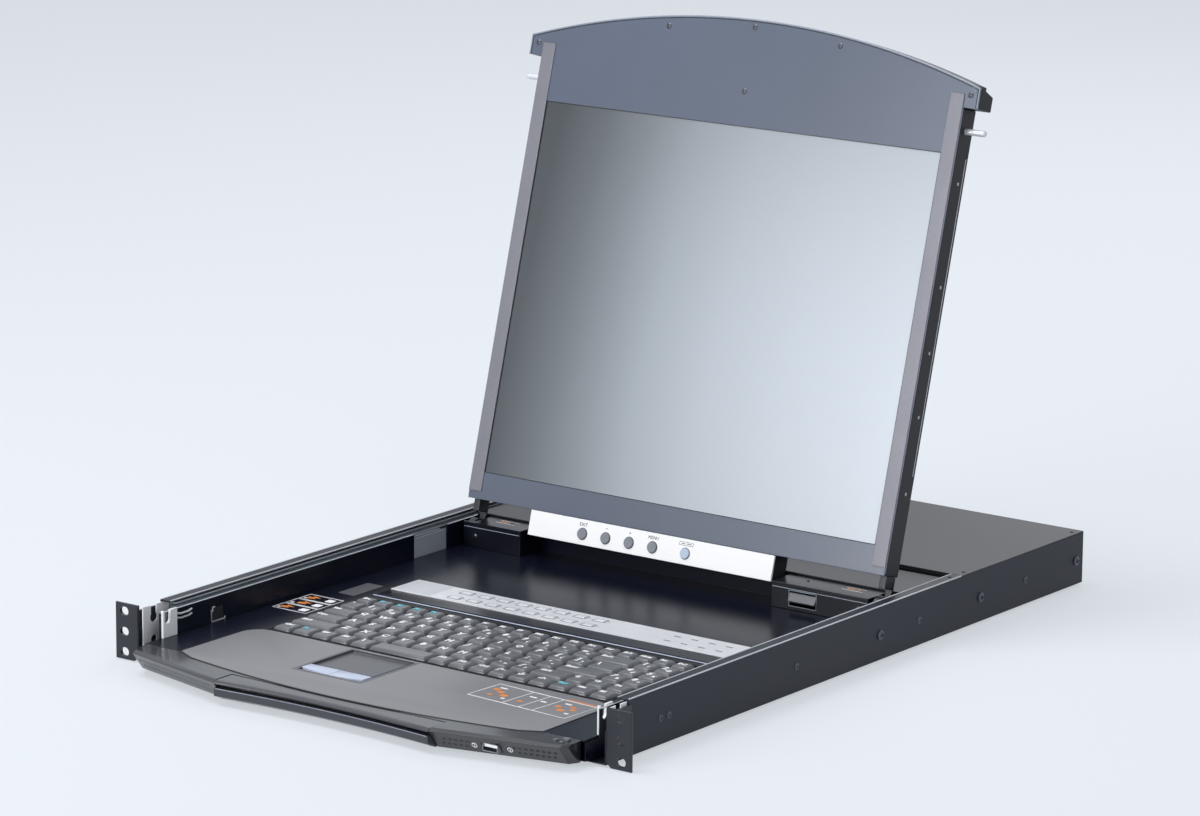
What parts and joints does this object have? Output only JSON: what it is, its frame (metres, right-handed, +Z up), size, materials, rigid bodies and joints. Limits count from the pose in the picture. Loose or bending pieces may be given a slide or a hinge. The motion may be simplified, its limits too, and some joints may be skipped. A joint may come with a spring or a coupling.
{
  "type": "rackmount lcd console drawer",
  "caption": "Rackmount console drawer, one unit high: a keyboard tray on telescopic slides with a touchpad and a hinged flat panel display that folds down over it.",
  "frame": {"origin": "middle of the rack ears' hole pattern, on the front face of the ears (the plane that meets the rack's posts is the ears' rear face)", "axes": "+X to the user's right, +Y into the rack (away from the user), +Z up"},
  "size_m": [0.4826, 0.699, 0.4533],
  "materials": {
    "black_steel": "fine satin powder coat",
    "charcoal_steel": "satin paint",
    "tray_steel": "satin paint",
    "cover_steel": "satin paint",
    "zinc_steel": "zinc plated",
    "rail_steel": "zinc plated",
    "supply_steel": "plain",
    "board_green": "solder mask",
    "port_metal": "nickel plated",
    "black_plastic": "fine texture",
    "screw_metal": "nickel plated",
    "bezel_plastic": "fine texture",
    "handle_plastic": "fine texture",
    "palm_plastic": "fine texture",
    "pad_plastic": "fine texture",
    "keyboard_plastic": "fine texture",
    "key_plastic": "fine texture",
    "strip_silver": "fine brushed",
    "button_grey": "smooth",
    "white_plastic": "moulded nylon",
    "hinge_plastic": "satin",
    "lcd_frame_paint": "satin paint",
    "lcd_glass": "anti-glare",
    "lcd_metal": "plain",
    "strip_grey": "satin",
    "fascia_silver": "smooth",
    "pin_steel": "nickel plated",
    "power_blue": "smooth"
  },
  "bodies": {
    "chassis": {"chassis_pan": "charcoal_steel", "rear_cover": "cover_steel", "rear_panel": "charcoal_steel", "rack_ear_left": "black_steel", "rack_ear_right": "black_steel", "slide_brackets": "zinc_steel", "outer_rail_left": "rail_steel", "outer_rail_right": "rail_steel", "power_supply": "supply_steel", "main_board": "board_green", "port_connectors": "port_metal", "power_inlet": "black_plastic", "chassis_screws": "screw_metal"},
    "drawer": {"tray_pan": "tray_steel", "tray_deck": "tray_steel", "front_bezel": "bezel_plastic", "handle": "handle_plastic", "palm_rest": "palm_plastic", "touchpad": "pad_plastic", "keyboard_base": "keyboard_plastic", "port_panel": "strip_silver", "control_board": "board_green", "usb_port": "port_metal", "lock_catches": "white_plastic", "hinge_block_left": "hinge_plastic", "hinge_block_right": "hinge_plastic", "hinge_barrels": "zinc_steel", "deck_cover": "cover_steel", "inner_rail_left": "rail_steel", "inner_rail_right": "rail_steel"},
    "display": {"lcd_frame": "lcd_frame_paint", "lcd_glass": "lcd_glass", "lcd_panel": "lcd_metal", "lcd_back_cover": "black_plastic", "side_strips": "strip_grey", "arch_handle": "black_plastic", "osd_bar": "fascia_silver", "osd_housing": "black_plastic", "hinge_arm_left": "black_steel", "hinge_arm_right": "black_steel", "lcd_screws": "screw_metal"},
    "rocker": {"power_switch": "black_plastic"},
    "middle_rail_left_body": {"middle_rail_left": "rail_steel"},
    "middle_rail_right_body": {"middle_rail_right": "rail_steel"},
    "ball_cages_body": {"ball_cages": "rail_steel"},
    "left_pad_button": {"pad_button_left": "pad_plastic"},
    "right_pad_button": {"pad_button_right": "pad_plastic"},
    "main_key_block": {"main_keys": "key_plastic"},
    "cursor_key_block": {"cursor_keys": "key_plastic"},
    "function_key_row": {"function_keys": "key_plastic"},
    "selector": {"select_buttons": "button_grey"},
    "latch": {"release_latch": "handle_plastic"},
    "osd_button_1_body": {"osd_button_1": "button_grey"},
    "osd_button_2_body": {"osd_button_2": "button_grey"},
    "osd_button_3_body": {"osd_button_3": "button_grey"},
    "osd_button_4_body": {"osd_button_4": "button_grey"},
    "power_button_body": {"power_button": "power_blue"},
    "lock_pin_left_body": {"lock_pin_left": "pin_steel"},
    "lock_pin_right_body": {"lock_pin_right": "pin_steel"}
  },
  "joints": [
    {"name": "drawer_slide", "type": "slide", "parent": "chassis", "child": "drawer", "axis": [0, -1, 0], "range_m": [0, 0.42]},
    {"name": "middle_left_slide", "type": "slide", "parent": "chassis", "child": "middle_rail_left_body", "axis": [0, -1, 0], "range_m": [0, 0.21]},
    {"name": "middle_right_slide", "type": "slide", "parent": "chassis", "child": "middle_rail_right_body", "axis": [0, -1, 0], "range_m": [0, 0.21]},
    {"name": "cage_slide", "type": "slide", "parent": "chassis", "child": "ball_cages_body", "axis": [0, -1, 0], "range_m": [0, 0.315]},
    {"name": "display_hinge", "type": "hinge", "parent": "drawer", "child": "display", "pos_m": [0, 0.3835, 0.01068], "axis": [1, 0, 0], "range_deg": [-10, 105.31]},
    {"name": "osd_press_1", "type": "slide", "parent": "display", "child": "osd_button_1_body", "axis": [0, 0.9645, -0.264], "range_m": [0, 0.0008], "stiffness_N_per_m": 600, "springref_m": -0.0005},
    {"name": "osd_press_2", "type": "slide", "parent": "display", "child": "osd_button_2_body", "axis": [0, 0.9645, -0.264], "range_m": [0, 0.0008], "stiffness_N_per_m": 600, "springref_m": -0.0005},
    {"name": "osd_press_3", "type": "slide", "parent": "display", "child": "osd_button_3_body", "axis": [0, 0.9645, -0.264], "range_m": [0, 0.0008], "stiffness_N_per_m": 600, "springref_m": -0.0005},
    {"name": "osd_press_4", "type": "slide", "parent": "display", "child": "osd_button_4_body", "axis": [0, 0.9645, -0.264], "range_m": [0, 0.0008], "stiffness_N_per_m": 600, "springref_m": -0.0005},
    {"name": "power_press", "type": "slide", "parent": "display", "child": "power_button_body", "axis": [0, 0.9645, -0.264], "range_m": [0, 0.0008], "stiffness_N_per_m": 600, "springref_m": -0.0005},
    {"name": "lock_pin_left_slide", "type": "slide", "parent": "display", "child": "lock_pin_left_body", "axis": [1, 0, 0], "range_m": [0, 0.016], "stiffness_N_per_m": 300, "springref_m": -0.002},
    {"name": "lock_pin_right_slide", "type": "slide", "parent": "display", "child": "lock_pin_right_body", "axis": [-1, 0, 0], "range_m": [0, 0.016], "stiffness_N_per_m": 300, "springref_m": -0.002},
    {"name": "left_pad_press", "type": "slide", "parent": "drawer", "child": "left_pad_button", "axis": [0, 0, -1], "range_m": [0, 0.0006], "stiffness_N_per_m": 600, "springref_m": -0.0005},
    {"name": "right_pad_press", "type": "slide", "parent": "drawer", "child": "right_pad_button", "axis": [0, 0, -1], "range_m": [0, 0.0006], "stiffness_N_per_m": 600, "springref_m": -0.0005},
    {"name": "main_key_press", "type": "slide", "parent": "drawer", "child": "main_key_block", "axis": [0, 0, -1], "range_m": [0, 0.002], "stiffness_N_per_m": 3000, "springref_m": -0.001},
    {"name": "cursor_key_press", "type": "slide", "parent": "drawer", "child": "cursor_key_block", "axis": [0, 0, -1], "range_m": [0, 0.002], "stiffness_N_per_m": 1000, "springref_m": -0.001},
    {"name": "function_key_press", "type": "slide", "parent": "drawer", "child": "function_key_row", "axis": [0, 0, -1], "range_m": [0, 0.002], "stiffness_N_per_m": 1000, "springref_m": -0.001},
    {"name": "select_press", "type": "slide", "parent": "drawer", "child": "selector", "axis": [0, 0, -1], "range_m": [0, 0.0006], "stiffness_N_per_m": 600, "springref_m": -0.0005},
    {"name": "latch_hinge", "type": "hinge", "parent": "drawer", "child": "latch", "pos_m": [0.1312, 0.3746, 0.009], "axis": [1, 0, 0], "range_deg": [0, 20], "stiffness_Nm_per_rad": 0.05, "springref_deg": -2.86},
    {"name": "rocker_hinge", "type": "hinge", "parent": "chassis", "child": "rocker", "pos_m": [0.186, 0.64, 0.00057], "axis": [1, 0, 0], "range_deg": [-12, 0]}
  ],
  "couplings": [
    {"joint": "middle_left_slide", "follows": "drawer_slide", "ratio": 0.5},
    {"joint": "middle_right_slide", "follows": "drawer_slide", "ratio": 0.5},
    {"joint": "cage_slide", "follows": "drawer_slide", "ratio": 0.75}
  ]
}
